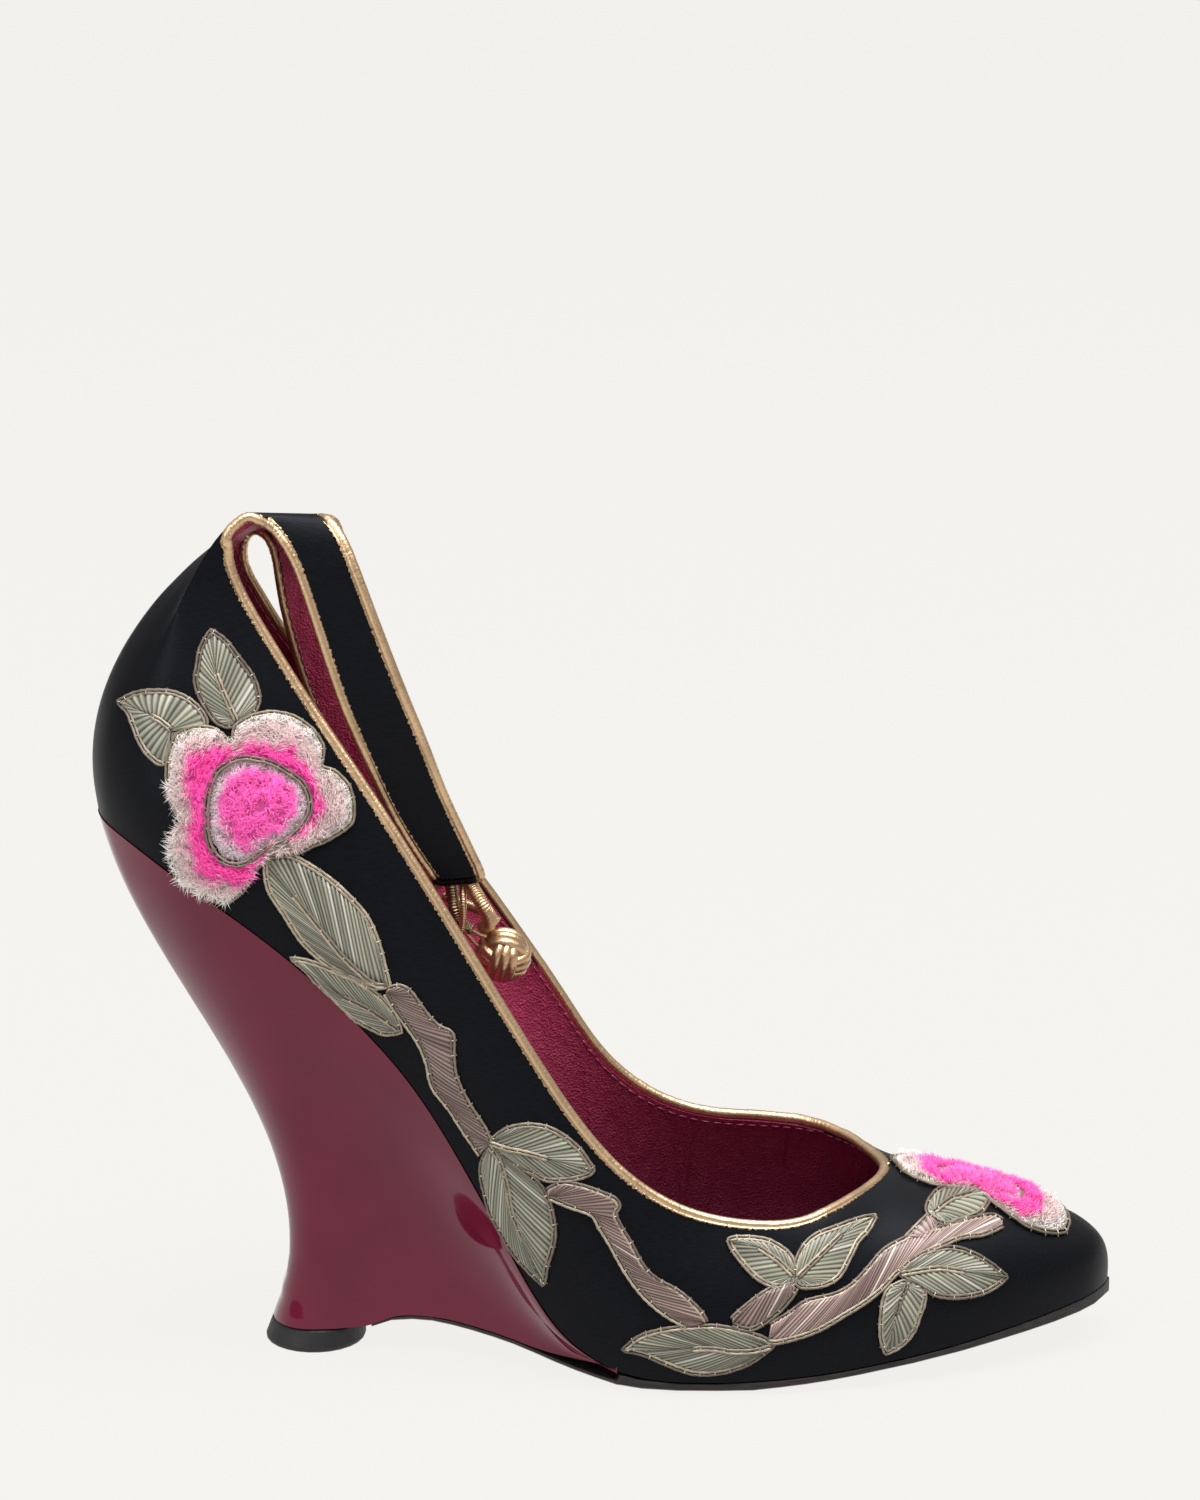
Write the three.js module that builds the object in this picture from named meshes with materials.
// A lady's evening court shoe on a sculpted wedge heel, right foot, in millimetres.
// x runs from the back of the heel to the toe, -y is the outer side of the foot, z is up, the floor is z = 0.
import * as THREE from "three";

// Sizes of the shoe
const LENGTH = 207; // heel curve to toe
const BALL_HALF = 37; // half the width across the ball
const HEEL_RISE = 109; // heel seat above the ball
const TOE_SPRING = 9; // toe above the ball
const COLLAR_RISE = 173; // top of the collar above the floor
const SOLE = 2; // edge of the sole
const INSOLE = 2.2; // padded insole
const WALL = 1.8; // satin, stiffener and kid lining together
const PIPE = 2; // gilt piping
const TOP_PIECE_HALF = 12; // half the width of the heel's top piece
const BALL_KNOT = 11.4; // woven ball of the frog fastening
const CORD = 2.2; // cord of the frog fastening

// Clearances
const GAP = 0.3;
const PIPE_GAP = 0.57; // the piping round its tight bends
const SEAT = 0.36; // embroidery over the satin
const BED = SOLE + GAP;

// The sampled ribs and rows of the surfaces
const RIBS = 36;
const ROWS = 9;
const STATIONS = 24; // stations along one side, toe 0 to heel 24
const THROAT = 6; // station of the throat
const LOOP = 22; // station of the strap's loop

// Foot line: x as a share of LENGTH, then shares of HEEL_RISE and TOE_SPRING
const FOOT = [
  [-0.02, 1.02, 0],
  [0.0, 1.007, 0],
  [0.04, 0.973, 0],
  [0.08, 0.928, 0],
  [0.12, 0.881, 0],
  [0.16, 0.828, 0],
  [0.2, 0.768, 0],
  [0.24, 0.698, 0],
  [0.28, 0.618, 0],
  [0.32, 0.526, 0],
  [0.36, 0.4, 0],
  [0.4, 0.261, 0],
  [0.43, 0.153, 0],
  [0.46, 0.076, 0],
  [0.49, 0.035, 0],
  [0.52, 0.009, 0],
  [0.56, 0.001, 0],
  [0.6, 0, 0],
  [0.66, 0, 0.07],
  [0.74, 0, 0.23],
  [0.82, 0, 0.43],
  [0.9, 0, 0.7],
  [0.96, 0, 0.9],
  [1.02, 0, 1.08],
];

// Feather edge of the last: station, then x share of LENGTH and y share of BALL_HALF, outer side
const FEATHER_OUTER = [
  [0, 0.998, 0.108],
  [1, 0.987, -0.081],
  [2, 0.965, -0.243],
  [3, 0.925, -0.43],
  [4, 0.884, -0.58],
  [5, 0.825, -0.757],
  [6, 0.746, -0.92],
  [7, 0.706, -0.975],
  [8, 0.669, -1],
  [9, 0.628, -1.005],
  [10, 0.57, -1],
  [11, 0.52, -0.951],
  [12, 0.478, -0.892],
  [13, 0.447, -0.838],
  [14, 0.406, -0.77],
  [15, 0.361, -0.714],
  [16, 0.313, -0.676],
  [17, 0.261, -0.665],
  [18, 0.203, -0.657],
  [19, 0.15, -0.643],
  [20, 0.101, -0.581],
  [21, 0.065, -0.476],
  [22, 0.036, -0.345],
  [23, 0.016, -0.19],
  [24, 0.009, 0],
];
const FEATHER_INNER = [
  [0, 0.998, 0.108],
  [1, 0.99, 0.25],
  [2, 0.971, 0.378],
  [3, 0.934, 0.505],
  [4, 0.891, 0.612],
  [5, 0.829, 0.75],
  [6, 0.75, 0.886],
  [7, 0.708, 0.935],
  [8, 0.669, 0.962],
  [9, 0.628, 0.973],
  [10, 0.57, 0.946],
  [11, 0.52, 0.865],
  [12, 0.478, 0.746],
  [13, 0.447, 0.649],
  [14, 0.406, 0.557],
  [15, 0.361, 0.519],
  [16, 0.313, 0.524],
  [17, 0.261, 0.568],
  [18, 0.203, 0.622],
  [19, 0.15, 0.643],
  [20, 0.101, 0.581],
  [21, 0.065, 0.476],
  [22, 0.036, 0.345],
  [23, 0.016, 0.19],
  [24, 0.009, 0],
];

// Ridge of the vamp: x share of LENGTH, y share of BALL_HALF, z share of COLLAR_RISE
const RIDGE = [
  [0.78, 0, 0.211],
  [0.85, 0.02, 0.192],
  [0.9, 0.05, 0.174],
  [0.93, 0.07, 0.16],
  [0.955, 0.09, 0.146],
  [0.97, 0.1, 0.133],
];

// Where each station in front of the throat meets the ridge: station, x share of LENGTH
const VAMP = [
  [0, 0.956],
  [1, 0.948],
  [2, 0.93],
  [3, 0.905],
  [4, 0.87],
  [5, 0.83],
  [6, 0.783],
];

// Top line: station, x, y and z shares
const TOP_OUTER = [
  [6, 0.783, 0, 0.21],
  [6.67, 0.769, -0.24, 0.208],
  [7.33, 0.746, -0.49, 0.204],
  [8, 0.718, -0.69, 0.197],
  [9, 0.673, -0.805, 0.184],
  [10, 0.591, -0.843, 0.196],
  [11, 0.523, -0.832, 0.24],
  [12, 0.473, -0.814, 0.306],
  [13, 0.44, -0.789, 0.364],
  [14, 0.4, -0.751, 0.441],
  [15, 0.36, -0.697, 0.52],
  [16, 0.313, -0.619, 0.61],
  [17, 0.266, -0.514, 0.696],
  [18, 0.217, -0.395, 0.778],
  [19, 0.178, -0.314, 0.852],
  [20, 0.146, -0.249, 0.914],
  [21, 0.132, -0.222, 0.968],
  [21.4, 0.134, -0.21, 0.983],
  [21.7, 0.143, -0.185, 0.996],
  [22, 0.158, -0.168, 1],
  [24, 0.162, 0, 0.988],
];
const TOP_INNER = [
  [6, 0.783, 0, 0.21],
  [6.67, 0.771, 0.27, 0.209],
  [7.33, 0.75, 0.52, 0.211],
  [8, 0.722, 0.7, 0.213],
  [9, 0.678, 0.8, 0.217],
  [10, 0.6, 0.838, 0.218],
  [11, 0.535, 0.832, 0.249],
  [12, 0.487, 0.816, 0.303],
  [13, 0.452, 0.789, 0.373],
  [14, 0.413, 0.757, 0.444],
  [15, 0.372, 0.703, 0.519],
  [16, 0.323, 0.616, 0.602],
  [17, 0.273, 0.503, 0.69],
  [18, 0.221, 0.4, 0.772],
  [19, 0.184, 0.346, 0.838],
  [20, 0.16, 0.295, 0.888],
  [21, 0.143, 0.243, 0.932],
  [21.5, 0.145, 0.222, 0.956],
  [22, 0.156, 0.2, 0.97],
  [24, 0.162, 0, 0.988],
];

// Sections: station, then handles of each rib. Rise and drop are shares of the rib's height,
// swell and lean are shares of BALL_HALF, measured outwards.
const SECTION = [
  [0, 0.62, 0.02, 0.17, 0],
  [2, 0.6, 0.02, 0.26, 0],
  [4, 0.6, 0.03, 0.42, 0],
  [6, 0.6, 0.05, 0.56, 0],
  [6.67, 0.55, 0.06, 0.42, 0.08],
  [7.33, 0.5, 0.06, 0.28, 0.15],
  [8, 0.42, 0.07, 0.17, 0.2],
  [9, 0.38, 0.08, 0.12, 0.25],
  [11, 0.35, 0.08, 0.08, 0.3],
  [14, 0.33, 0.06, 0.06, 0.33],
  [17, 0.33, 0.08, 0.1, 0.33],
  [19, 0.33, 0.1, 0.16, 0.33],
  [20.5, 0.33, 0.12, 0.26, 0.32],
  [22, 0.33, 0.14, 0.46, 0.3],
  [24, 0.33, 0.143, 0.72, 0.285],
];

// Strap halves: share of the way to the end, then lower edge x, y, z and upper edge x, y, z
const STRAP_OUTER = [
  [0, 0.158, -0.168, 1, 0.224, -0.14, 0.997],
  [0.04, 0.173, -0.168, 1, 0.229, -0.17, 0.997],
  [0.08, 0.187, -0.195, 0.99, 0.235, -0.21, 0.991],
  [0.12, 0.197, -0.235, 0.974, 0.246, -0.262, 0.974],
  [0.18, 0.208, -0.265, 0.95, 0.255, -0.303, 0.947],
  [0.3, 0.222, -0.311, 0.903, 0.269, -0.341, 0.903],
  [0.42, 0.238, -0.346, 0.844, 0.285, -0.365, 0.852],
  [0.54, 0.256, -0.368, 0.779, 0.3045, -0.376, 0.791],
  [0.66, 0.278, -0.378, 0.717, 0.324, -0.362, 0.733],
  [0.78, 0.3, -0.362, 0.656, 0.3405, -0.322, 0.677],
  [0.89, 0.322, -0.319, 0.608, 0.3585, -0.284, 0.626],
  [1, 0.341, -0.265, 0.57, 0.3775, -0.243, 0.573],
];
const STRAP_INNER = [
  [0, 0.156, 0.2, 0.97, 0.226, 0.14, 0.983],
  [0.06, 0.177, 0.196, 0.964, 0.236, 0.185, 0.975],
  [0.14, 0.187, 0.175, 0.938, 0.243, 0.19, 0.95],
  [0.24, 0.191, 0.15, 0.9, 0.247, 0.18, 0.908],
  [0.36, 0.2, 0.14, 0.848, 0.253, 0.165, 0.862],
  [0.5, 0.216, 0.14, 0.783, 0.267, 0.155, 0.8],
  [0.64, 0.24, 0.14, 0.712, 0.289, 0.145, 0.735],
  [0.78, 0.266, 0.125, 0.643, 0.313, 0.125, 0.668],
  [0.9, 0.29, 0.105, 0.583, 0.335, 0.105, 0.61],
  [1, 0.312, 0.09, 0.535, 0.355, 0.09, 0.562],
];
const STRAP_CELLS = 16;
const STRAP_ACROSS = 3;

// Underside of the sole in the middle: x share of LENGTH, height in shares of SOLE
const UNDERSIDE = [
  [0.26, 1.95],
  [0.28, 2.6],
  [0.305, 3.15],
  [0.33, 3.2],
  [0.36, 2.9],
  [0.4, 2.3],
  [0.44, 1.5],
  [0.48, 0.75],
  [0.52, 0.2],
  [0.545, 0],
  [0.63, 0],
  [0.67, 0.35],
  [0.74, 1.1],
  [0.82, 2],
  [0.9, 2.95],
  [0.96, 3.6],
  [1.02, 4.4],
];
// Underneath of the wedge: station, x share of LENGTH, outer and inner y in shares of BALL_HALF
const FOOTPRINT = [
  [11.2, 0.512, -0.945, 0.846],
  [12, 0.482, -0.835, 0.725],
  [13, 0.455, -0.73, 0.61],
  [14, 0.42, -0.575, 0.5],
  [15, 0.375, -0.43, 0.4],
  [16, 0.335, -0.33, 0.32],
  [17, 0.298, -0.275, 0.275],
  [18, 0.264, -0.25, 0.25],
  [19, 0.235, -0.29, 0.29],
  [20, 0.212, -0.303, 0.303],
  [21, 0.195, -0.27, 0.27],
  [22, 0.183, -0.2, 0.2],
  [23, 0.176, -0.1, 0.1],
  [24, 0.174, 0, 0],
];
// Sides of the wedge: station, pull inwards at the top and at the foot in shares of BALL_HALF,
// fall at the top and rise at the foot in shares of the height, slide of the foot in shares of the height
const FLANK = [
  [11.2, 0, 0, 0.33, 0.33, 0],
  [13, 0.02, 0.01, 0.33, 0.33, 0],
  [15, 0.1, 0.03, 0.33, 0.33, 0.02],
  [17, 0.17, 0.05, 0.33, 0.36, 0.06],
  [20, 0.18, 0.1, 0.33, 0.38, 0.08],
  [22, 0.18, 0.3, 0.33, 0.36, 0.04],
  [24, 0.18, 0.485, 0.327, 0.342, 0],
];
const WAIST_SOLE = 1.4; // sole where it runs on under the wedge
const TOP_PIECE_RISE = 4.6; // rubber top piece under the heel
const TOP_PIECE_LENGTH = 20.4;
const TOP_PIECE_BACK = 0.166; // its back, share of LENGTH
const TOP_PIECE_LEAN = 0.9; // its upper edge sits this far forward
const WEDGE_TIP = 0.512 * LENGTH;
const WAIST_START = 0.272 * LENGTH;
const WAIST_END = 0.305 * LENGTH; // the waist's sole has its full thickness from here on
const WAIST_THIN = 0.45; // share of it at the start
const WEDGE_COLUMNS = 21; // on each side
const WEDGE_ROWS = 12;

// Embroidery drawn on the side view of the shoe: x is a share of LENGTH, and height is a share of the way
// from the satin's lower edge to its upper edge above that x
const VIEW_TILT_DEGREES = 14; // the side view looks down by this
const LEAF_RISE = 0.95;
const BRANCH_RISE = 1.15;
const PILE_RISE = 3;
// leaf: root x, root height, tip x, tip height, then half-widths as shares of its length and
// the share of the length at which each is widest, left of the way from root to tip first
const LEAVES = {
  leaf_a: [0.145, 0.5903, 0.125, 0.731, 0.27, 0.5, 0.33, 0.3],
  leaf_b: [0.087, 0.4193, 0.036, 0.4447, 0.4, 0.4, 0.4, 0.4],
  leaf_c: [0.29, 0.2973, 0.193, 0.3378, 0.205, 0.68, 0.175, 0.6],
  leaf_d: [0.302, 0.1894, 0.202, 0.0177, 0.12, 0.4, 0.14, 0.5],
  leaf_e: [0.396, 0.397, 0.489, 0.9018, 0.27, 0.45, 0.21, 0.55],
  leaf_f: [0.39, 0.2873, 0.441, 0.1157, 0.255, 0.5, 0.13, 0.4],
  leaf_g: [0.65, 0.2601, 0.52, 0.1382, 0.185, 0.38, 0.145, 0.5],
  leaf_h: [0.676, 0.6504, 0.621, 0.9228, 0.19, 0.45, 0.3, 0.42],
  leaf_i: [0.69, 0.6604, 0.761, 0.8294, 0.17, 0.42, 0.2, 0.45],
  leaf_j: [0.826, 0.7887, 0.868, 0.9242, 0.24, 0.4, 0.1, 0.6],
  leaf_k: [0.79, 0.4266, 0.888, 0.4105, 0.25, 0.42, 0.17, 0.55],
  leaf_l: [0.787, 0.353, 0.771, 0.0569, 0.4, 0.42, 0.24, 0.4],
};
const LEAF_STEPS = 7;
// branches: half-width as a share of BALL_HALF, then their points x, height
const BRANCHES = {
  branch_a: {
    half: 0.071,
    path: [
      [0.311, 0.3464],
      [0.337, 0.379],
      [0.346, 0.2733],
      [0.359, 0.2771],
      [0.374, 0.2855],
      [0.383, 0.2985],
    ],
  },
  branch_b: {
    half: 0.06,
    path: [
      [0.464, 0.6714],
      [0.494, 0.8093],
      [0.511, 0.81],
      [0.52, 0.7233],
      [0.539, 0.6045],
      [0.563, 0.4797],
      [0.583, 0.3937],
    ],
  },
  branch_c: {
    half: 0.054,
    path: [
      [0.63, 0.4079],
      [0.654, 0.5055],
      [0.673, 0.5943],
    ],
  },
  branch_d: {
    half: 0.062,
    path: [
      [0.662, 0.3234],
      [0.688, 0.401],
      [0.731, 0.436],
      [0.754, 0.5005],
      [0.775, 0.5671],
      [0.81, 0.6366],
      [0.85, 0.7151],
      [0.876, 0.7572],
    ],
  },
};

// Plush flowers, drawn round their middle: angle in degrees, petal rim and middle's rim as shares of FLOWER
const FLOWER = 20;
const MIDDLE_GAP = 0.8; // dark cord between the petals and the middle
const HEEL_FLOWER_AT = [0.173, 0.4348]; // on the side view
const HEEL_FLOWER = [
  [2, 0.9, 0.46],
  [14, 0.88, 0.46],
  [26, 0.8, 0.45],
  [35, 0.69, 0.44],
  [45, 0.85, 0.42],
  [57, 0.91, 0.41],
  [71, 0.945, 0.42],
  [85, 0.94, 0.44],
  [97, 0.9, 0.46],
  [108, 0.84, 0.5],
  [115, 0.66, 0.52],
  [121, 0.9, 0.53],
  [130, 1.03, 0.54],
  [139, 1.1, 0.55],
  [151, 1.04, 0.54],
  [164, 0.955, 0.52],
  [178, 0.87, 0.52],
  [189, 0.78, 0.52],
  [198, 0.93, 0.54],
  [208, 1.02, 0.57],
  [218, 1.07, 0.6],
  [230, 1.05, 0.62],
  [241, 1.02, 0.61],
  [250, 0.98, 0.57],
  [257, 0.83, 0.52],
  [264, 0.6, 0.44],
  [277, 0.48, 0.37],
  [299, 0.52, 0.38],
  [324, 0.62, 0.4],
  [339, 0.76, 0.42],
  [351, 0.9, 0.45],
];
const TOE_FLOWER_AT = [0.867, 0.0135]; // in plan, x share of LENGTH and y share of BALL_HALF
const TOE_FLOWER = [
  [-8, 0.9, 0.42],
  [-20, 0.9, 0.42],
  [-34, 0.8, 0.4],
  [-50, 0.68, 0.34],
  [-64, 0.5, 0.26],
  [-80, 0.32, 0.18],
  [-98, 0.26, 0.14],
  [-116, 0.3, 0.16],
  [-132, 0.46, 0.24],
  [-148, 0.68, 0.34],
  [-162, 0.8, 0.4],
  [-178, 0.82, 0.4],
  [-192, 0.9, 0.4],
  [-204, 0.86, 0.38],
  [-216, 0.7, 0.34],
  [-230, 0.66, 0.32],
  [-246, 0.62, 0.3],
  [-262, 0.58, 0.3],
  [-276, 0.62, 0.3],
  [-292, 0.6, 0.3],
  [-306, 0.66, 0.32],
  [-320, 0.7, 0.36],
  [-336, 0.78, 0.4],
  [-350, 0.86, 0.42],
];

// ---------- helpers ----------
const vec = (x, y, z) => new THREE.Vector3(x, y, z);

// A smooth reading of one column of a table, without overshoot between its rows
function reader(rows, column) {
  const x = rows.map((row) => row[0]);
  const y = rows.map((row) => row[column]);
  const last = x.length - 1;
  const slope = [];
  for (let i = 0; i < last; i++) slope.push((y[i + 1] - y[i]) / (x[i + 1] - x[i]));
  const tangent = x.map((_, i) => {
    if (i === 0) return slope[0];
    if (i === last) return slope[last - 1];
    const a = slope[i - 1];
    const b = slope[i];
    if (a * b <= 0) return 0;
    const ha = x[i] - x[i - 1];
    const hb = x[i + 1] - x[i];
    return (3 * (ha + hb)) / ((2 * hb + ha) / a + (hb + 2 * ha) / b);
  });
  return (t) => {
    let i = 0;
    while (i < last - 1 && t > x[i + 1]) i++;
    const h = x[i + 1] - x[i];
    const s = (t - x[i]) / h;
    const s2 = s * s;
    const s3 = s2 * s;
    return (
      (2 * s3 - 3 * s2 + 1) * y[i] +
      (s3 - 2 * s2 + s) * h * tangent[i] +
      (3 * s2 - 2 * s3) * y[i + 1] +
      (s3 - s2) * h * tangent[i + 1]
    );
  };
}

// A net of faces whose corners are shared where they coincide
class Net {
  constructor() {
    this.points = [];
    this.faces = [];
    this.seen = new Map();
  }
  corner(p) {
    const key = [p.x, p.y, p.z].map((v) => Math.round(v * 1e4)).join();
    if (!this.seen.has(key)) {
      this.seen.set(key, this.points.length);
      this.points.push(p.clone());
    }
    return this.seen.get(key);
  }
  face(...corners) {
    const ids = corners.map((p) => this.corner(p)).filter((id, i, all) => id !== all[(i + 1) % all.length]);
    if (ids.length > 2) this.faces.push(ids);
  }
  grid(rows) {
    for (let i = 0; i + 1 < rows.length; i++)
      for (let j = 0; j + 1 < rows[i].length; j++)
        this.face(rows[i][j], rows[i + 1][j], rows[i + 1][j + 1], rows[i][j + 1]);
  }
  triangles() {
    const list = [];
    for (const f of this.faces) {
      if (f.length === 3) list.push(f);
      else {
        const [a, b, c, d] = f.map((id) => this.points[id]);
        if (a.distanceTo(c) <= b.distanceTo(d)) list.push([f[0], f[1], f[2]], [f[0], f[2], f[3]]);
        else list.push([f[0], f[1], f[3]], [f[1], f[2], f[3]]);
      }
    }
    return list;
  }
  normals() {
    const sum = this.points.map(() => vec(0, 0, 0));
    for (const t of this.triangles()) {
      const [a, b, c] = t.map((id) => this.points[id]);
      const n = b.clone().sub(a).cross(c.clone().sub(a));
      for (const id of t) sum[id].add(n);
    }
    return sum.map((n) => n.normalize());
  }
  // Edges that only one face uses, chained into closed loops
  borders() {
    const next = new Map();
    const used = new Set();
    for (const f of this.faces)
      f.forEach((a, i) => used.add(a + ">" + f[(i + 1) % f.length]));
    for (const f of this.faces)
      f.forEach((a, i) => {
        const b = f[(i + 1) % f.length];
        if (!used.has(b + ">" + a)) next.set(a, b);
      });
    const loops = [];
    while (next.size) {
      const loop = [];
      let id = next.keys().next().value;
      while (next.has(id)) {
        loop.push(id);
        const to = next.get(id);
        next.delete(id);
        id = to;
      }
      loops.push(loop);
    }
    return loops;
  }
  geometry() {
    const g = new THREE.BufferGeometry();
    g.setAttribute("position", new THREE.Float32BufferAttribute(this.points.flatMap((p) => [p.x, p.y, p.z]), 3));
    g.setIndex(this.triangles().flat());
    g.computeVertexNormals();
    return g;
  }
}

// Makes an open sheet a closed wall: a second sheet below the first, and rims between them
function thicken(sheet, depth, adjust = (p) => p) {
  const wall = new Net();
  wall.points = sheet.points.map((p) => p.clone());
  wall.faces = sheet.faces.map((f) => [...f]);
  const count = sheet.points.length;
  const normals = sheet.normals();
  sheet.points.forEach((p, i) => wall.points.push(adjust(p.clone().addScaledVector(normals[i], -depth), i)));
  for (const f of sheet.faces) wall.faces.push([...f].reverse().map((id) => id + count));
  for (const loop of sheet.borders())
    loop.forEach((a, i) => {
      const b = loop[(i + 1) % loop.length];
      wall.faces.push([b, a, a + count, b + count]);
    });
  return wall;
}

// ---------- the last ----------
const footHeel = reader(FOOT, 1);
const footToe = reader(FOOT, 2);
const footZ = (x) => BED + HEEL_RISE * footHeel(x / LENGTH) + TOE_SPRING * footToe(x / LENGTH);
function footNormal(x) {
  const slope = footZ(x + 0.5) - footZ(x - 0.5);
  return vec(-slope, 0, 1).normalize();
}
const vampX = reader(VAMP, 1);
const ridgeY = reader(RIDGE, 1);
const ridgeZ = reader(RIDGE, 2);

function side(feather, top) {
  const fx = reader(feather, 1);
  const fy = reader(feather, 2);
  const tx = reader(top, 1);
  const ty = reader(top, 2);
  const tz = reader(top, 3);
  const foot = (s) => {
    const x = fx(s) * LENGTH;
    return vec(x, fy(s) * BALL_HALF, footZ(x));
  };
  const crest = (s) => {
    if (s < THROAT) {
      const x = vampX(s);
      return vec(x * LENGTH, ridgeY(x) * BALL_HALF, ridgeZ(x) * COLLAR_RISE);
    }
    return vec(tx(s) * LENGTH, ty(s) * BALL_HALF, tz(s) * COLLAR_RISE);
  };
  return { foot, crest };
}
const outer = side(FEATHER_OUTER, TOP_OUTER);
const inner = side(FEATHER_INNER, TOP_INNER);
const rise = reader(SECTION, 1);
const swell = reader(SECTION, 2);
const lean = reader(SECTION, 3);
const drop = reader(SECTION, 4);

// Horizontal direction out of the last at a station; hand is -1 on the outer side
function outward(last, s, hand) {
  const e = 0.2;
  if (s < e) return vec(1, 0, 0);
  if (s > STATIONS - e) return vec(-1, 0, 0);
  const t = last.foot(s + e).sub(last.foot(s - e));
  return vec(t.y * hand, -t.x * hand, 0).normalize();
}

function rib(last, hand, s) {
  const a = last.foot(s);
  const d = last.crest(s);
  const h = d.z - a.z;
  const out = outward(last, s, hand);
  const b = a.clone().add(vec(0, 0, rise(s) * h)).addScaledVector(out, swell(s) * BALL_HALF);
  // towards the back of the collar the crest leans straight back
  const back = THREE.MathUtils.smoothstep(s, 18.5, LOOP);
  const outTop = out.clone().lerp(vec(-1, 0, 0), back).normalize();
  const c = d.clone().add(vec(0, 0, -drop(s) * h)).addScaledVector(outTop, lean(s) * BALL_HALF);
  if (s < THROAT) {
    const x = d.x / LENGTH;
    const slope = ((ridgeZ(x + 0.004) - ridgeZ(x - 0.004)) * COLLAR_RISE) / (0.008 * LENGTH);
    c.z += slope * (c.x - d.x);
  }
  return new THREE.CubicBezierCurve3(a, b, c, d);
}

const stationOf = (i) => (i * STATIONS) / RIBS;
function ribsOf(last, hand) {
  const list = [];
  for (let i = 0; i <= RIBS; i++) {
    list.push(rib(last, hand, stationOf(i)).getPoints(ROWS));
  }
  return list;
}
const outerRibs = ribsOf(outer, -1);
const innerRibs = ribsOf(inner, 1);

// ---------- upper ----------
const sheet = new Net();
// the outer side's ribs run from toe to heel, so their faces point out when each is read from the crest down
sheet.grid(outerRibs.map((line) => [...line].reverse()));
sheet.grid(innerRibs);

function strapRows(table) {
  const col = [1, 2, 3, 4, 5, 6].map((c) => reader(table, c));
  const rows = [];
  for (let i = 0; i <= STRAP_CELLS; i++) {
    const t = i / STRAP_CELLS;
    const low = vec(col[0](t) * LENGTH, col[1](t) * BALL_HALF, col[2](t) * COLLAR_RISE);
    const high = vec(col[3](t) * LENGTH, col[4](t) * BALL_HALF, col[5](t) * COLLAR_RISE);
    rows.push(across(low, high));
  }
  return rows;
}
function across(low, high) {
  const row = [];
  for (let j = 0; j <= STRAP_ACROSS; j++) row.push(low.clone().lerp(high, j / STRAP_ACROSS));
  return row;
}
const strapOuter = strapRows(STRAP_OUTER);
const strapInner = strapRows(STRAP_INNER);
const loopRib = Math.round((LOOP * RIBS) / STATIONS);
// the bridge between the halves, over the back of the collar
const bridge = [];
const bridgeSeam = [];
for (let i = loopRib; i <= RIBS; i++) bridgeSeam.push(outerRibs[i][ROWS]);
for (let i = RIBS - 1; i >= loopRib; i--) bridgeSeam.push(innerRibs[i][ROWS]);
bridgeSeam.forEach((low, i) => {
  const t = i / (bridgeSeam.length - 1);
  const high = strapOuter[0][STRAP_ACROSS].clone().lerp(strapInner[0][STRAP_ACROSS], t);
  bridge.push(across(low, high));
});
const band = [...strapOuter.slice(1).reverse(), ...bridge, ...strapInner.slice(1)];
sheet.grid(band.map((line) => [...line].reverse()));

const footIds = new Set();
for (const line of [...outerRibs, ...innerRibs]) footIds.add(sheet.corner(line[0]));
const upperNet = thicken(sheet, WALL, (p, i) => {
  if (footIds.has(i)) p.z = footZ(p.x);
  return p;
});

// ---------- plates that follow the foot ----------
// Pulls a closed outline in by a distance, in plan
function inset(loop, distance) {
  const n = loop.length;
  return loop.map((p, i) => {
    const a = loop[(i + n - 1) % n];
    const b = loop[(i + 1) % n];
    const t = vec(b.x - a.x, b.y - a.y, 0).normalize();
    return vec(p.x - t.y * distance, p.y + t.x * distance, p.z);
  });
}
// feather edge as one loop, toe, inner side, heel, outer side: anticlockwise from above
const featherLoop = [
  ...innerRibs.map((line) => line[0]),
  ...outerRibs.slice(1, -1).reverse().map((line) => line[0]),
];
// A plate between two loops that have the same number of corners, one above the other, paired across the foot
function plate(top, bottom) {
  const net = new Net();
  const n = top.length;
  const half = n / 2;
  const pair = (i) => (n - i) % n;
  for (let i = 0; i < half; i++) {
    net.face(top[i], top[i + 1], top[pair(i + 1)], top[pair(i)]);
    net.face(bottom[pair(i)], bottom[pair(i + 1)], bottom[i + 1], bottom[i]);
  }
  for (let i = 0; i < n; i++) {
    const k = (i + 1) % n;
    net.face(bottom[i], bottom[k], top[k], top[i]);
  }
  return net;
}
const insoleLow = inset(featherLoop, WALL + 2 * GAP);
const insoleHigh = inset(featherLoop, WALL + 3 * GAP);
for (const p of insoleLow) p.z = footZ(p.x);
for (const p of insoleHigh) {
  p.z = footZ(p.x);
  p.addScaledVector(footNormal(p.x), INSOLE);
}
const insoleNet = plate(insoleHigh, insoleLow);

// ---------- wedge heel ----------
const undersideOf = reader(UNDERSIDE, 1);
const undersideZ = (x) => SOLE * undersideOf(x / LENGTH);
function waistTopZ(x) {
  const share = THREE.MathUtils.clamp((x - WAIST_START) / (WAIST_END - WAIST_START), 0, 1);
  return undersideZ(x) + WAIST_SOLE * THREE.MathUtils.lerp(WAIST_THIN, 1, share);
}
const footprintX = reader(FOOTPRINT, 1);
const footprintOuter = reader(FOOTPRINT, 2);
const footprintInner = reader(FOOTPRINT, 3);
const flank = [1, 2, 3, 4, 5].map((c) => reader(FLANK, c));
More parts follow.
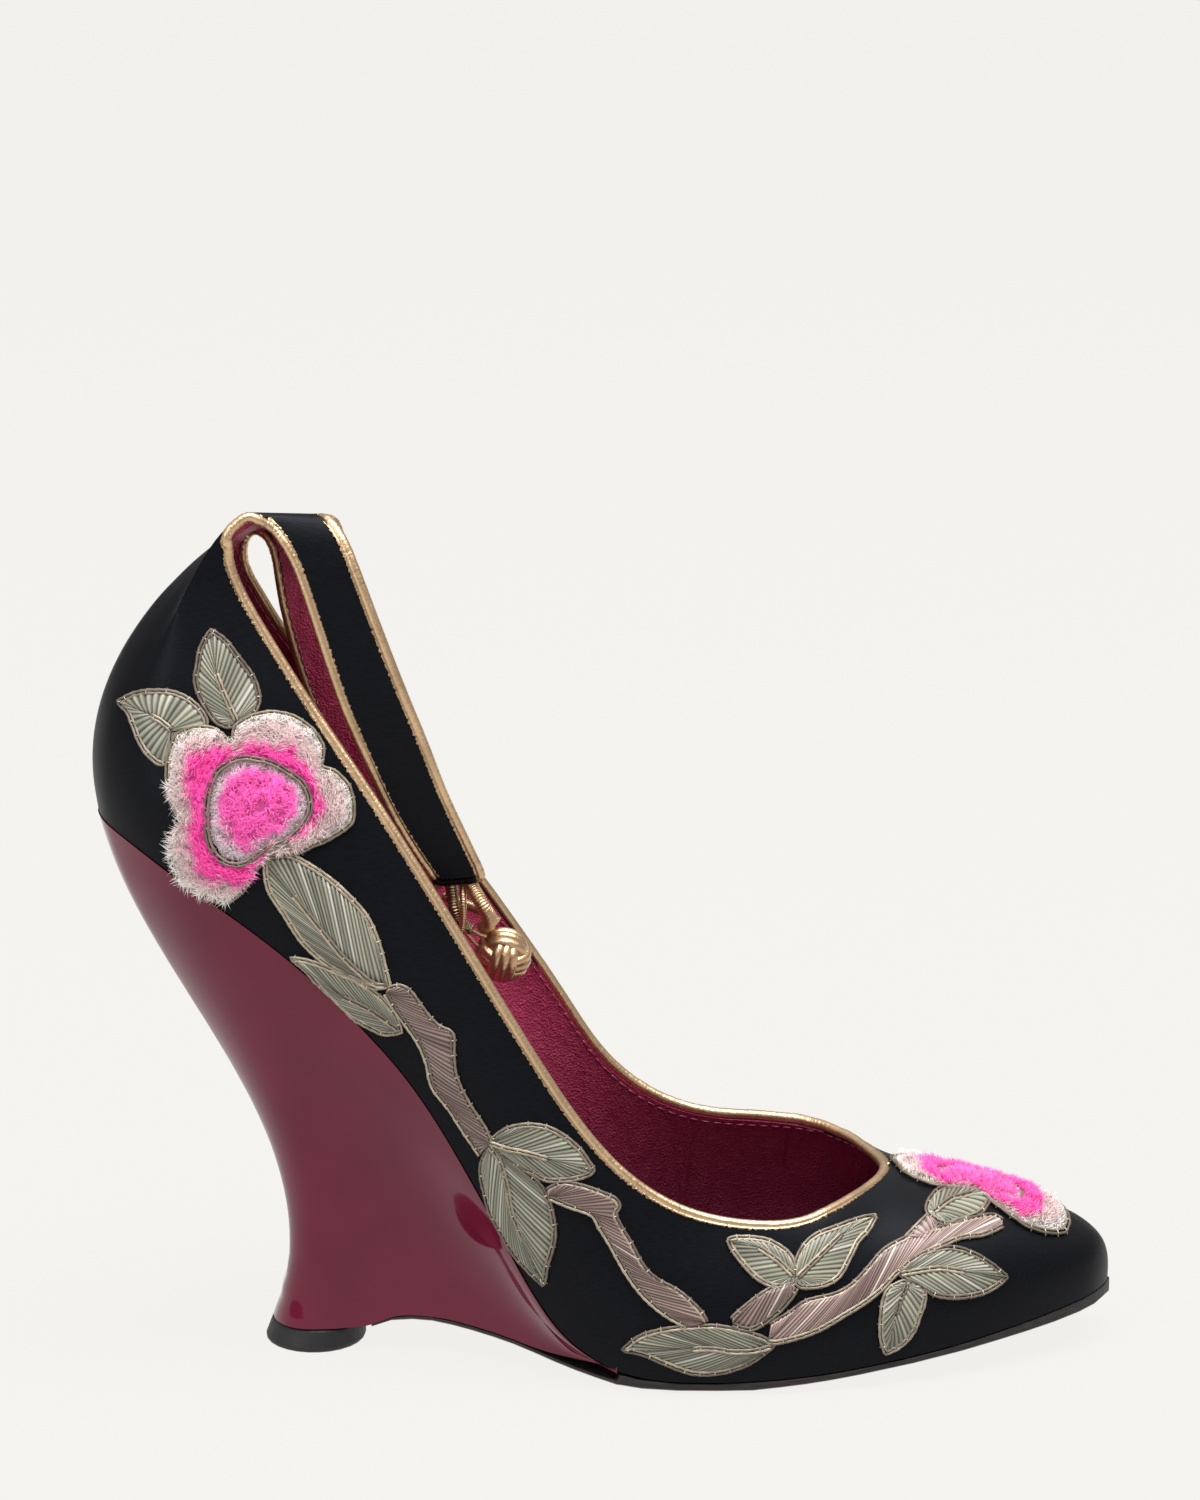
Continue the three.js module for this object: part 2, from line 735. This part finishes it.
// lower face of the wedge, over the top piece and then over the sole
function wedgeFootZ(x) {
  const under = x > WAIST_START ? waistTopZ(x) : 0;
  return Math.max(under, TOP_PIECE_RISE) + GAP;
}
function wedgeColumns(last, hand, footprintY) {
  const start = FOOTPRINT[0][0];
  const columns = [];
  for (let i = 0; i <= WEDGE_COLUMNS; i++) {
    const s = start + ((STATIONS - start) * i) / WEDGE_COLUMNS;
    const top = last.foot(s);
    const out = outward(last, s, hand);
    top.addScaledVector(footNormal(top.x), -GAP);
    if (i === 0) top.x = WEDGE_TIP;
    const x = footprintX(s) * LENGTH;
    const bottom = vec(x, footprintY(s) * BALL_HALF, wedgeFootZ(x));
    const h = top.z - bottom.z;
    const [pullTop, pullFoot, fall, lift, slide] = flank.map((f) => f(s));
    const upper = top.clone().addScaledVector(out, -pullTop * BALL_HALF);
    upper.z -= fall * h;
    upper.x += 0.2 * (bottom.x - top.x) * (1 - Math.abs(out.x));
    const lower = bottom.clone().addScaledVector(out, -pullFoot * BALL_HALF);
    lower.z += lift * h;
    lower.x += slide * h;
    const curve = new THREE.CubicBezierCurve3(top, upper, lower, bottom);
    columns.push(curve.getPoints(WEDGE_ROWS));
  }
  return columns;
}
const wedgeOuter = wedgeColumns(outer, -1, footprintOuter);
const wedgeInner = wedgeColumns(inner, 1, footprintInner);
const wedgeNet = new Net();
wedgeNet.grid(wedgeOuter);
wedgeNet.grid(wedgeInner.map((column) => [...column].reverse()));
for (let i = 0; i < WEDGE_COLUMNS; i++) {
  wedgeNet.face(wedgeOuter[i][0], wedgeInner[i][0], wedgeInner[i + 1][0], wedgeOuter[i + 1][0]);
  const last = WEDGE_ROWS;
  wedgeNet.face(wedgeInner[i][last], wedgeOuter[i][last], wedgeOuter[i + 1][last], wedgeInner[i + 1][last]);
}
// the blunt tip in front
for (let j = 0; j < WEDGE_ROWS; j++)
  wedgeNet.face(wedgeInner[0][j], wedgeOuter[0][j], wedgeOuter[0][j + 1], wedgeInner[0][j + 1]);

// ---------- top piece ----------
const topPieceNet = new Net();
{
  const around = 26;
  const centre = TOP_PIECE_BACK * LENGTH + TOP_PIECE_LENGTH / 2;
  const ring = (share, z) => {
    const list = [];
    for (let i = 0; i < around; i++) {
      const a = (2 * Math.PI * i) / around;
      const x = centre + (TOP_PIECE_LEAN * z) / TOP_PIECE_RISE + (share * TOP_PIECE_LENGTH * Math.cos(a)) / 2;
      list.push(vec(x, share * TOP_PIECE_HALF * Math.sin(a), z));
    }
    return list;
  };
  const rings = [ring(0.955, 0), ring(1, 0.7), ring(0.93, TOP_PIECE_RISE)];
  for (let r = 0; r < 2; r++)
    for (let i = 0; i < around; i++) {
      const k = (i + 1) % around;
      topPieceNet.face(rings[r][i], rings[r][k], rings[r + 1][k], rings[r + 1][i]);
    }
  const middle = (z) => vec(centre, 0, z);
  for (let i = 0; i < around; i++) {
    const k = (i + 1) % around;
    topPieceNet.face(rings[0][k], rings[0][i], middle(0));
    topPieceNet.face(rings[2][i], rings[2][k], middle(TOP_PIECE_RISE));
  }
}

// ---------- sole ----------
const WAIST_STEPS = 12;
const EDGE_BEVEL = 0.8; // the sole's underneath rounds up by this
const EDGE_ROUND = 2; // over this width of its edge
// forefoot corners in front of the wedge's tip, toe first
const frontInner = innerRibs.map((line) => line[0]).filter((p) => p.x > WEDGE_TIP + 2);
const frontOuter = outerRibs.map((line) => line[0]).filter((p) => p.x > WEDGE_TIP + 2);
const frontCount = Math.min(frontInner.length, frontOuter.length);
function readY(points, x) {
  for (let i = 0; i + 1 < points.length; i++) {
    const a = points[i];
    const b = points[i + 1];
    if ((a.x - x) * (b.x - x) <= 0) return a.y + ((b.y - a.y) * (x - a.x)) / (b.x - a.x);
  }
  return points[0].y;
}
const innerFeather = innerRibs.map((line) => line[0]).slice(3);
const outerFeather = outerRibs.map((line) => line[0]).slice(3);
const wedgeFootInner = wedgeInner.map((column) => column[WEDGE_ROWS]);
const wedgeFootOuter = wedgeOuter.map((column) => column[WEDGE_ROWS]);
// each row: inner x and y, outer x and y, and whether the wedge stands on it
const soleRows = [];
for (let i = 0; i < frontCount; i++)
  soleRows.push([frontInner[i].x, frontInner[i].y, frontOuter[i].x, frontOuter[i].y, false]);
{
  const x = WEDGE_TIP + 2 * GAP;
  soleRows.push([x, readY(innerFeather, x), x, readY(outerFeather, x), false]);
}
for (let i = WAIST_STEPS; i >= 0; i--) {
  const x = WAIST_START + ((WEDGE_TIP - WAIST_START) * i) / WAIST_STEPS;
  soleRows.push([x, readY(wedgeFootInner, x), x, readY(wedgeFootOuter, x), true]);
}
const soleTopZ = (x, waist) => (waist ? waistTopZ(x) : footZ(x) - GAP);
const soleNet = new Net();
{
  const section = soleRows.map(([xi, yi, xo, yo, waist]) => {
    const bevel = Math.min(EDGE_ROUND, Math.abs(yi - yo) / 3);
    const edge = (x) => Math.min(undersideZ(x) + EDGE_BEVEL, soleTopZ(x, waist) - 0.4);
    return [
      vec(xi, yi, soleTopZ(xi, waist)),
      vec(xi, yi, edge(xi)),
      vec(xi, yi - bevel, undersideZ(xi)),
      vec(xo, yo + bevel, undersideZ(xo)),
      vec(xo, yo, edge(xo)),
      vec(xo, yo, soleTopZ(xo, waist)),
    ];
  });
  for (let i = 0; i + 1 < section.length; i++)
    for (let j = 0; j < 6; j++) {
      const k = (j + 1) % 6;
      soleNet.face(section[i][j], section[i][k], section[i + 1][k], section[i + 1][j]);
    }
  const end = section[section.length - 1];
  soleNet.face(end[0], end[1], end[4], end[5]);
  soleNet.face(end[1], end[2], end[3], end[4]);
  const nose = section[0];
  soleNet.face(nose[4], nose[3], nose[2]);
}

// ---------- piping ----------
function ringed(centres, frames, radius, sides, closed) {
  const net = new Net();
  const rings = centres.map((p, i) => {
    const [u, w] = frames[i];
    const ring = [];
    for (let k = 0; k < sides; k++) {
      const a = (2 * Math.PI * k) / sides;
      ring.push(p.clone().addScaledVector(u, radius * Math.cos(a)).addScaledVector(w, radius * Math.sin(a)));
    }
    return ring;
  });
  const n = rings.length;
  for (let i = 0; i < (closed ? n : n - 1); i++)
    for (let k = 0; k < sides; k++) {
      const a = rings[i];
      const b = rings[(i + 1) % n];
      const l = (k + 1) % sides;
      net.face(a[k], a[l], b[l], b[k]);
    }
  if (!closed) {
    for (let k = 0; k < sides; k++) {
      const l = (k + 1) % sides;
      net.face(centres[0], rings[0][l], rings[0][k]);
      net.face(centres[n - 1], rings[n - 1][k], rings[n - 1][l]);
    }
  }
  return net;
}
const borders = sheet.borders().sort((a, b) => a.length - b.length);
const topBorder = borders[borders.length - 1];
const sheetNormals = sheet.normals();
const pipeCentres = [];
const pipeFrames = [];
topBorder.forEach((id, i) => {
  const n = topBorder.length;
  const before = sheet.points[topBorder[(i + n - 1) % n]];
  const after = sheet.points[topBorder[(i + 1) % n]];
  const here = sheet.points[id];
  const one = here.clone().sub(before).normalize();
  const two = after.clone().sub(here).normalize();
  const along = one.clone().add(two).normalize();
  const normal = sheetNormals[id].clone();
  // the sheet lies to the left of its border, so away is to the right
  const away = along.clone().cross(normal).normalize();
  const turn = Math.max(0.6, Math.sqrt((1 + one.dot(two)) / 2));
  const up = along.clone().cross(away).normalize();
  pipeCentres.push(
    here.clone().addScaledVector(normal, -WALL / 2).addScaledVector(away, (PIPE / 2 + PIPE_GAP) / turn),
  );
  pipeFrames.push([away, up]);
});
const pipingNet = ringed(pipeCentres, pipeFrames, PIPE / 2, 6, true);

// ---------- frog fastening ----------
function cord(points, radius, sides = 6, steps = 12) {
  const curve = new THREE.CatmullRomCurve3(points.map((p) => vec(...p)));
  const centres = curve.getSpacedPoints(steps);
  const found = curve.computeFrenetFrames(steps, false);
  const frames = centres.map((_, i) => [found.normals[i], found.binormals[i]]);
  return ringed(centres, frames, radius, sides, false);
}
// Places on the shoe, x share of LENGTH, y share of BALL_HALF, z share of COLLAR_RISE
const place = (x, y, z) => [x * LENGTH, y * BALL_HALF, z * COLLAR_RISE];
const KNOT_AT = place(0.4015, -0.081, 0.47);
const frogLoop = cord(
  [
    place(0.378, -0.262, 0.5553),
    place(0.3865, -0.27, 0.5395),
    place(0.3915, -0.235, 0.521),
    place(0.386, -0.17, 0.5125),
    place(0.3735, -0.16, 0.5135),
    place(0.3635, -0.205, 0.522),
    place(0.3605, -0.255, 0.5405),
    place(0.361, -0.265, 0.5553),
  ],
  CORD / 2,
  6,
  18,
);
const frogNeck = cord(
  [place(0.344, 0.085, 0.531), place(0.362, 0.04, 0.525), place(0.381, -0.02, 0.5195), place(0.396, -0.06, 0.509)],
  CORD / 2 - 0.1,
  6,
  8,
);
// The ball is a cube's six faces blown up: each carries a band of three strands, turned from its neighbours
function knot(centre, diameter) {
  const net = new Net();
  const n = 6;
  const axes = [
    [vec(1, 0, 0), vec(0, 1, 0), vec(0, 0, 1)],
    [vec(-1, 0, 0), vec(0, 0, 1), vec(0, 1, 0)],
    [vec(0, 1, 0), vec(0, 0, 1), vec(1, 0, 0)],
    [vec(0, -1, 0), vec(1, 0, 0), vec(0, 0, 1)],
    [vec(0, 0, 1), vec(1, 0, 0), vec(0, 1, 0)],
    [vec(0, 0, -1), vec(0, 1, 0), vec(1, 0, 0)],
  ];
  const groove = [0.93, 1, 0.965, 1.02, 0.965, 1, 0.93];
  for (const [out, u, w] of axes) {
    const rows = [];
    for (let i = 0; i <= n; i++) {
      const row = [];
      for (let j = 0; j <= n; j++) {
        const a = Math.tan(((i / n - 0.5) * Math.PI) / 2);
        const b = Math.tan(((j / n - 0.5) * Math.PI) / 2);
        const p = out.clone().addScaledVector(u, a).addScaledVector(w, b).normalize();
        const rim = i === 0 || j === 0 || i === n || j === n;
        const strandShare = Math.abs(out.z) > 0.5 || Math.abs(out.y) > 0.5 ? groove[i] : groove[j];
        p.multiplyScalar((diameter / 2) * (rim ? 0.93 : strandShare));
        row.push(p.add(vec(...centre)));
      }
      rows.push(row);
    }
    net.grid(rows);
  }
  return net;
}
const knotNet = knot(KNOT_AT, BALL_KNOT);

// ---------- embroidery ----------
const cloth = new THREE.Mesh(sheet.geometry());
const tilt = THREE.MathUtils.degToRad(VIEW_TILT_DEGREES);
const sideLook = vec(0, Math.cos(tilt), -Math.sin(tilt));
const sideUp = vec(0, Math.sin(tilt), Math.cos(tilt));
const AFAR = 3 * LENGTH; // the drawing is thrown on the satin from here
const caster = new THREE.Raycaster();
// Height of the satin's lower and upper edge on the side view, above a place x
const outerFeet = outerRibs.map((line) => line[0]);
const outerCrests = outerRibs.map((line) => line[ROWS]);
function edgeHeight(edge, x) {
  for (let i = 0; i + 1 < edge.length; i++) {
    const [a, b] = [edge[i], edge[i + 1]];
    if ((a.x - x) * (b.x - x) <= 0) return sideUp.dot(a.clone().lerp(b, (x - a.x) / (b.x - a.x)));
  }
  return sideUp.dot(edge.reduce((low, p) => (p.x < low.x ? p : low)));
}
// Height on the side view of a place drawn as a share of the way from the satin's lower edge to its upper edge
function drawnHeight(x, share) {
  return THREE.MathUtils.lerp(edgeHeight(outerFeet, x), edgeHeight(outerCrests, x), share);
}
// Where a point of the side view lies on the satin, with the satin's normal there
function onSide(x, height) {
  const from = vec(x, 0, 0).addScaledVector(sideUp, height).addScaledVector(sideLook, -AFAR);
  caster.set(from, sideLook);
  const [found] = caster.intersectObject(cloth);
  return found && { point: found.point, normal: found.normal.clone().normalize() };
}
function onPlan(x, y) {
  caster.set(vec(x, y, AFAR), vec(0, 0, -1));
  const [found] = caster.intersectObject(cloth);
  return found && { point: found.point, normal: found.normal.clone().normalize() };
}
const lifted = (spot, distance) => spot.point.clone().addScaledVector(spot.normal, distance);
// A raised patch over a grid of places on the satin, each with its own rise above it
function patch(rows) {
  const net = new Net();
  const top = rows.map((row) => row.map((c) => lifted(c.spot, SEAT + c.rise)));
  const bottom = rows.map((row) => row.map((c) => lifted(c.spot, SEAT)));
  net.grid(top);
  net.grid(bottom.map((row) => [...row].reverse()));
  const far = rows[0].length - 1;
  for (let i = 0; i + 1 < rows.length; i++) {
    net.face(bottom[i][0], bottom[i + 1][0], top[i + 1][0], top[i][0]);
    net.face(top[i][far], top[i + 1][far], bottom[i + 1][far], bottom[i][far]);
  }
  return net;
}
// A flower's petals as a ring and its middle as a cushion, both with the pile's locks standing on them
function flower(table, spotAt) {
  const at = (angle, radius) => {
    const a = THREE.MathUtils.degToRad(angle);
    for (let share = 1; share > 0.3; share -= 0.04) {
      const spot = spotAt(radius * share * Math.cos(a), radius * share * Math.sin(a));
      if (spot) return spot;
    }
    throw new Error("the flower leaves the upper at " + angle);
  };
  const lift = (c) => [lifted(c.spot, SEAT), lifted(c.spot, SEAT + c.rise)];
  const petals = new Net();
  const middle = new Net();
  const spokes = table.map(([angle, rim, core], i) => {
    const lock = i % 2 ? 1 : -1;
    const from = core * FLOWER + MIDDLE_GAP;
    const to = Math.max(rim * FLOWER + 0.35 * lock, from + 1.2);
    return {
      petal: [
        { spot: at(angle, from), rise: PILE_RISE * 0.45 },
        { spot: at(angle, from + (to - from) * 0.5), rise: PILE_RISE * (0.95 + 0.12 * lock) },
        { spot: at(angle, to), rise: PILE_RISE * 0.4 },
      ].map(lift),
      core: [
        { spot: at(angle, core * FLOWER), rise: PILE_RISE * 0.5 },
        { spot: at(angle, core * FLOWER * 0.55), rise: PILE_RISE * (1 + 0.12 * lock) },
      ].map(lift),
    };
  });
  const heart = lift({ spot: at(0, 0), rise: PILE_RISE * 1.08 });
  const turns = table[0][0] < table[1][0];
  const put = (net, ...corners) => net.face(...(turns ? corners : corners.reverse()));
  spokes.forEach((one, i) => {
    const two = spokes[(i + 1) % spokes.length];
    for (let j = 0; j < 2; j++) {
      put(petals, one.petal[j][1], one.petal[j + 1][1], two.petal[j + 1][1], two.petal[j][1]);
      put(petals, one.petal[j + 1][0], one.petal[j][0], two.petal[j][0], two.petal[j + 1][0]);
    }
    put(petals, one.petal[0][0], one.petal[0][1], two.petal[0][1], two.petal[0][0]);
    put(petals, one.petal[2][1], one.petal[2][0], two.petal[2][0], two.petal[2][1]);
    put(middle, one.core[1][1], one.core[0][1], two.core[0][1], two.core[1][1]);
    put(middle, one.core[0][0], one.core[1][0], two.core[1][0], two.core[0][0]);
    put(middle, one.core[0][1], one.core[0][0], two.core[0][0], two.core[0][1]);
    put(middle, heart[1], one.core[1][1], two.core[1][1]);
    put(middle, one.core[1][0], heart[0], two.core[1][0]);
  });
  return [petals, middle];
}
const heelFlowerX = HEEL_FLOWER_AT[0] * LENGTH;
const heelFlowerHeight = drawnHeight(heelFlowerX, HEEL_FLOWER_AT[1]);
const [heelPetals, heelMiddle] = flower(HEEL_FLOWER, (dx, dh) => onSide(heelFlowerX + dx, heelFlowerHeight + dh));
const [toePetals, toeMiddle] = flower(TOE_FLOWER, (dx, dy) =>
  onPlan(TOE_FLOWER_AT[0] * LENGTH + dx, TOE_FLOWER_AT[1] * BALL_HALF + dy),
);
// The spot at an offset from a line on the side view, drawn in where the satin ends at the feather edge
function besideLine(x, h, ax, ah, offset) {
  for (let share = 1; share >= 0; share -= 0.08) {
    const spot = onSide(x - ah * offset * share, h + ax * offset * share);
    if (spot) return spot;
  }
  throw new Error("the drawing leaves the upper at " + [x, h]);
}
const peaked = (t, at) => {
  const k = 1.7;
  return Math.pow(t / at, k * at) * Math.pow((1 - t) / (1 - at), k * (1 - at));
};
function leaf([rx, rh, tx, th, left, leftAt, right, rightAt]) {
  const root = [rx * LENGTH, drawnHeight(rx * LENGTH, rh)];
  const along = [tx * LENGTH - root[0], drawnHeight(tx * LENGTH, th) - root[1]];
  const rows = [];
  for (let i = 0; i <= LEAF_STEPS; i++) {
    const t = i / LEAF_STEPS;
    const row = [];
    for (const [share, rise] of [[-1, 0.7], [-0.5, 1], [0, 0.8], [0.5, 1], [1, 0.7]]) {
      const side = share > 0 ? left * peaked(t, leftAt) : right * peaked(t, rightAt);
      const x = root[0] + along[0] * t;
      const h = root[1] + along[1] * t;
      row.push({ spot: besideLine(x, h, along[0], along[1], share * side), rise: LEAF_RISE * rise });
    }
    rows.push(row);
  }
  return patch(rows);
}
function branch({ half, path }) {
  const places = path.map(([x, h]) => new THREE.Vector2(x * LENGTH, drawnHeight(x * LENGTH, h)));
  const line = new THREE.SplineCurve(places);
  const steps = Math.max(5, Math.round(line.getLength() / 5));
  const rows = [];
  for (let i = 0; i <= steps; i++) {
    const p = line.getPointAt(i / steps);
    const t = line.getTangentAt(i / steps);
    const knob = 1 + 0.16 * Math.sin(2.3 * i);
    const row = [];
    for (const [share, rise] of [[-1, 0.7], [0, 1], [1, 0.7]]) {
      const w = share * half * BALL_HALF * knob;
      row.push({ spot: besideLine(p.x, p.y, t.x, t.y, w), rise: BRANCH_RISE * rise });
    }
    rows.push(row);
  }
  const net = patch(rows);
  // close the cut ends
  const first = rows[0];
  const last = rows[steps];
  for (let j = 0; j + 1 < first.length; j++) {
    const k = j + 1;
    net.face(
      lifted(first[j].spot, SEAT + first[j].rise),
      lifted(first[k].spot, SEAT + first[k].rise),
      lifted(first[k].spot, SEAT),
      lifted(first[j].spot, SEAT),
    );
    net.face(
      lifted(last[j].spot, SEAT),
      lifted(last[k].spot, SEAT),
      lifted(last[k].spot, SEAT + last[k].rise),
      lifted(last[j].spot, SEAT + last[j].rise),
    );
  }
  return net;
}

// ---------- the shoe ----------
const group = new THREE.Group();
function add(name, net, color, roughness, metalness = 0) {
  const material = new THREE.MeshStandardMaterial({ color, roughness, metalness });
  const mesh = new THREE.Mesh(net.geometry(), material);
  mesh.name = name;
  group.add(mesh);
}
add("upper", upperNet, "#26262b", 0.5);
add("insole", insoleNet, "#7d1a3c", 0.6);
add("outsole", soleNet, "#1b1718", 0.6);
add("wedge_heel", wedgeNet, "#6b1a33", 0.15);
add("top_piece", topPieceNet, "#141416", 0.7);
add("piping", pipingNet, "#c9a573", 0.35, 0.8);
add("frog_loop", frogLoop, "#b98f5c", 0.4, 0.8);
add("frog_neck", frogNeck, "#b98f5c", 0.4, 0.8);
add("knot_ball", knotNet, "#c9a573", 0.35, 0.8);
add("flower_heel_petals", heelPetals, "#dcc0c2", 0.9);
add("flower_heel_middle", heelMiddle, "#f43bb0", 0.9);
add("flower_toe_petals", toePetals, "#dcc0c2", 0.9);
add("flower_toe_middle", toeMiddle, "#f43bb0", 0.9);
for (const [name, row] of Object.entries(LEAVES)) add(name, leaf(row), "#b3ba9f", 0.55);
for (const [name, row] of Object.entries(BRANCHES)) add(name, branch(row), "#8f7772", 0.6);

// The shoe stands on the floor with the middle of its length and width over the origin
const model = new THREE.Group();
model.add(group);
const box = new THREE.Box3().setFromObject(group);
const middleOf = box.getCenter(vec(0, 0, 0));
group.position.set(-middleOf.x, -middleOf.y, -box.min.z);
export default model;
